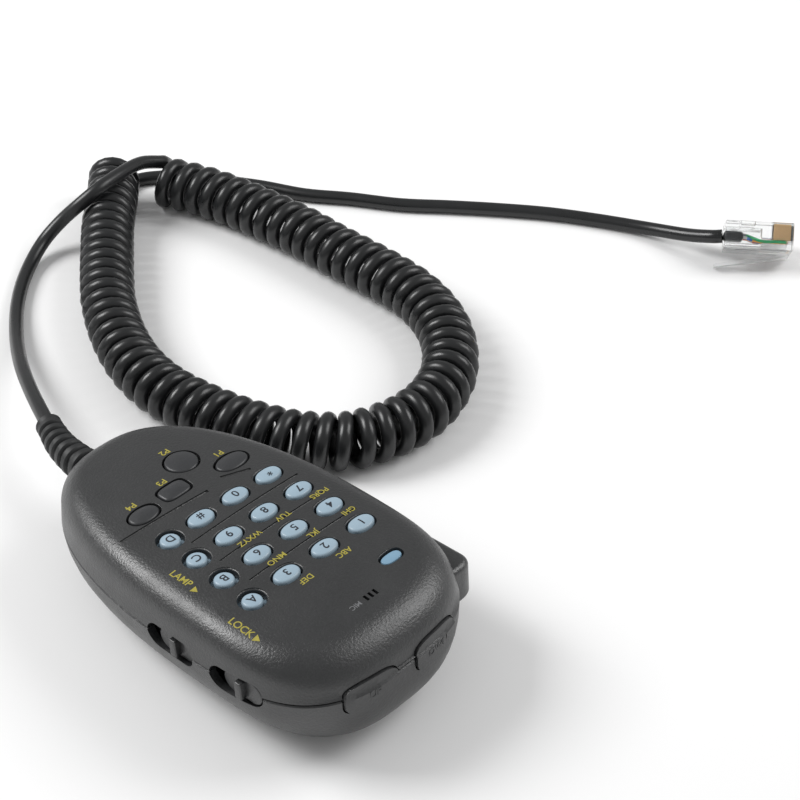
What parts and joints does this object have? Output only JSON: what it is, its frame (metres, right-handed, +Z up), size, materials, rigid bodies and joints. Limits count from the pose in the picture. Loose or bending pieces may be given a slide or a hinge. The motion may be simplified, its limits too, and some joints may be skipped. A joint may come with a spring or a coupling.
{
  "type": "hand microphone",
  "caption": "Hand microphone with a telephone-style keypad, push-to-talk lever, slide switches and a coiled lead ending in a clear modular plug.",
  "frame": {"origin": "centre of the microphone's footprint on the surface that it lies on, without its cord", "axes": "+Z up out of the keypad, +Y towards the top end with the up and down keys, +X to the side of the two slide switches"},
  "size_m": [0.2442, 0.2182, 0.0324],
  "materials": {
    "charcoal_abs": "fine satin texture",
    "blue_keycap": "smooth light grey-blue moulding with dark printed legends",
    "dark_keycap": "smooth satin",
    "clear_blue": "clear pale blue acrylic",
    "grey_silicone": "matt silicone sheet",
    "circuit_board": "green solder mask",
    "black_nylon": "satin",
    "capsule_can": "drawn can",
    "black_rubber": "satin",
    "black_pvc": "smooth, slightly shiny jacket",
    "zinc_steel": "zinc plated",
    "cream_nylon": "natural nylon",
    "clear_polycarbonate": "clear, polished",
    "gold_contact": "gold plated"
  },
  "bodies": {
    "housing": {"board_screw_1": "zinc_steel", "board_screw_2": "zinc_steel", "case_screw_1": "zinc_steel", "case_screw_2": "zinc_steel", "case_screw_3": "zinc_steel", "case_screw_4": "zinc_steel", "circuit_board": "circuit_board", "cord_coil": "black_pvc", "cord_connector": "cream_nylon", "cord_lead": "black_pvc", "cord_tail": "black_pvc", "down_switch": "black_nylon", "front_shell": "charcoal_abs", "hanger_stud": "black_nylon", "indicator_lens": "clear_blue", "keypad_mat": "grey_silicone", "lamp_switch": "black_nylon", "lock_switch": "black_nylon", "mic_boot": "black_rubber", "mic_capsule": "capsule_can", "plug_body": "clear_polycarbonate", "plug_contact_1": "gold_contact", "plug_contact_2": "gold_contact", "plug_contact_3": "gold_contact", "plug_contact_4": "gold_contact", "plug_contact_5": "gold_contact", "plug_contact_6": "gold_contact", "plug_contact_7": "gold_contact", "plug_contact_8": "gold_contact", "rear_shell": "charcoal_abs", "strain_relief": "black_rubber", "stud_screw": "zinc_steel", "talk_switch": "black_nylon", "up_switch": "black_nylon"},
    "key_1_body": {"key_1": "blue_keycap"},
    "key_2_body": {"key_2": "blue_keycap"},
    "key_3_body": {"key_3": "blue_keycap"},
    "key_4_body": {"key_4": "blue_keycap"},
    "key_5_body": {"key_5": "blue_keycap"},
    "key_6_body": {"key_6": "blue_keycap"},
    "key_7_body": {"key_7": "blue_keycap"},
    "key_8_body": {"key_8": "blue_keycap"},
    "key_9_body": {"key_9": "blue_keycap"},
    "key_0_body": {"key_0": "blue_keycap"},
    "key_star_body": {"key_star": "blue_keycap"},
    "key_hash_body": {"key_hash": "blue_keycap"},
    "key_a_body": {"key_a": "blue_keycap"},
    "key_b_body": {"key_b": "blue_keycap"},
    "key_c_body": {"key_c": "blue_keycap"},
    "key_d_body": {"key_d": "blue_keycap"},
    "p1_key_body": {"p1_key": "dark_keycap"},
    "p2_key_body": {"p2_key": "dark_keycap"},
    "p3_key_body": {"p3_key": "dark_keycap"},
    "p4_key_body": {"p4_key": "dark_keycap"},
    "up_key_body": {"up_key": "charcoal_abs"},
    "down_key_body": {"down_key": "charcoal_abs"},
    "talk_lever_body": {"talk_lever": "charcoal_abs"},
    "lamp_slider_body": {"lamp_slider": "charcoal_abs"},
    "lock_slider_body": {"lock_slider": "charcoal_abs"},
    "plug_latch_body": {"plug_latch": "clear_polycarbonate"}
  },
  "joints": [
    {"name": "key_1_press", "type": "slide", "parent": "housing", "child": "key_1_body", "axis": [0, 0.0631, -0.998], "range_m": [0, 0.0008], "stiffness_N_per_m": 900},
    {"name": "key_2_press", "type": "slide", "parent": "housing", "child": "key_2_body", "axis": [0, 0.0631, -0.998], "range_m": [0, 0.0008], "stiffness_N_per_m": 900},
    {"name": "key_3_press", "type": "slide", "parent": "housing", "child": "key_3_body", "axis": [0, 0.0631, -0.998], "range_m": [0, 0.0008], "stiffness_N_per_m": 900},
    {"name": "key_4_press", "type": "slide", "parent": "housing", "child": "key_4_body", "axis": [0, 0.0631, -0.998], "range_m": [0, 0.0008], "stiffness_N_per_m": 900},
    {"name": "key_5_press", "type": "slide", "parent": "housing", "child": "key_5_body", "axis": [0, 0.0631, -0.998], "range_m": [0, 0.0008], "stiffness_N_per_m": 900},
    {"name": "key_6_press", "type": "slide", "parent": "housing", "child": "key_6_body", "axis": [0, 0.0631, -0.998], "range_m": [0, 0.0008], "stiffness_N_per_m": 900},
    {"name": "key_7_press", "type": "slide", "parent": "housing", "child": "key_7_body", "axis": [0, 0.0631, -0.998], "range_m": [0, 0.0008], "stiffness_N_per_m": 900},
    {"name": "key_8_press", "type": "slide", "parent": "housing", "child": "key_8_body", "axis": [0, 0.0631, -0.998], "range_m": [0, 0.0008], "stiffness_N_per_m": 900},
    {"name": "key_9_press", "type": "slide", "parent": "housing", "child": "key_9_body", "axis": [0, 0.0631, -0.998], "range_m": [0, 0.0008], "stiffness_N_per_m": 900},
    {"name": "key_0_press", "type": "slide", "parent": "housing", "child": "key_0_body", "axis": [0, 0.0631, -0.998], "range_m": [0, 0.0008], "stiffness_N_per_m": 900},
    {"name": "key_star_press", "type": "slide", "parent": "housing", "child": "key_star_body", "axis": [0, 0.0631, -0.998], "range_m": [0, 0.0008], "stiffness_N_per_m": 900},
    {"name": "key_hash_press", "type": "slide", "parent": "housing", "child": "key_hash_body", "axis": [0, 0.0631, -0.998], "range_m": [0, 0.0008], "stiffness_N_per_m": 900},
    {"name": "key_a_press", "type": "slide", "parent": "housing", "child": "key_a_body", "axis": [0, 0.0631, -0.998], "range_m": [0, 0.0008], "stiffness_N_per_m": 900},
    {"name": "key_b_press", "type": "slide", "parent": "housing", "child": "key_b_body", "axis": [0, 0.0631, -0.998], "range_m": [0, 0.0008], "stiffness_N_per_m": 900},
    {"name": "key_c_press", "type": "slide", "parent": "housing", "child": "key_c_body", "axis": [0, 0.0631, -0.998], "range_m": [0, 0.0008], "stiffness_N_per_m": 900},
    {"name": "key_d_press", "type": "slide", "parent": "housing", "child": "key_d_body", "axis": [0, 0.0631, -0.998], "range_m": [0, 0.0008], "stiffness_N_per_m": 900},
    {"name": "p1_key_press", "type": "slide", "parent": "housing", "child": "p1_key_body", "axis": [0, 0.0631, -0.998], "range_m": [0, 0.0008], "stiffness_N_per_m": 900},
    {"name": "p2_key_press", "type": "slide", "parent": "housing", "child": "p2_key_body", "axis": [0, 0.0631, -0.998], "range_m": [0, 0.0008], "stiffness_N_per_m": 900},
    {"name": "p3_key_press", "type": "slide", "parent": "housing", "child": "p3_key_body", "axis": [0, 0.0631, -0.998], "range_m": [0, 0.0008], "stiffness_N_per_m": 900},
    {"name": "p4_key_press", "type": "slide", "parent": "housing", "child": "p4_key_body", "axis": [0, 0.0631, -0.998], "range_m": [0, 0.0008], "stiffness_N_per_m": 900},
    {"name": "up_key_press", "type": "slide", "parent": "housing", "child": "up_key_body", "axis": [0, -0.998, -0.0631], "range_m": [0, 0.0006], "stiffness_N_per_m": 1200},
    {"name": "down_key_press", "type": "slide", "parent": "housing", "child": "down_key_body", "axis": [0, -0.998, -0.0631], "range_m": [0, 0.0006], "stiffness_N_per_m": 1200},
    {"name": "talk_lever_swing", "type": "hinge", "parent": "housing", "child": "talk_lever_body", "pos_m": [-0.02499, 0.00321, 0.01576], "axis": [0, 0.0631, -0.998], "range_deg": [0, 1.7], "stiffness_Nm_per_rad": 3},
    {"name": "lamp_slider_slide", "type": "slide", "parent": "housing", "child": "lamp_slider_body", "axis": [0, -0.998, -0.0631], "range_m": [0, 0.0026]},
    {"name": "lock_slider_slide", "type": "slide", "parent": "housing", "child": "lock_slider_body", "axis": [0, -0.998, -0.0631], "range_m": [0, 0.0026]},
    {"name": "plug_latch_flex", "type": "hinge", "parent": "housing", "child": "plug_latch_body", "pos_m": [-0.20413, 0.00981, 0.0049], "axis": [-0.5841, -0.4401, -0.682], "range_deg": [0, 9], "stiffness_Nm_per_rad": 0.3}
  ]
}
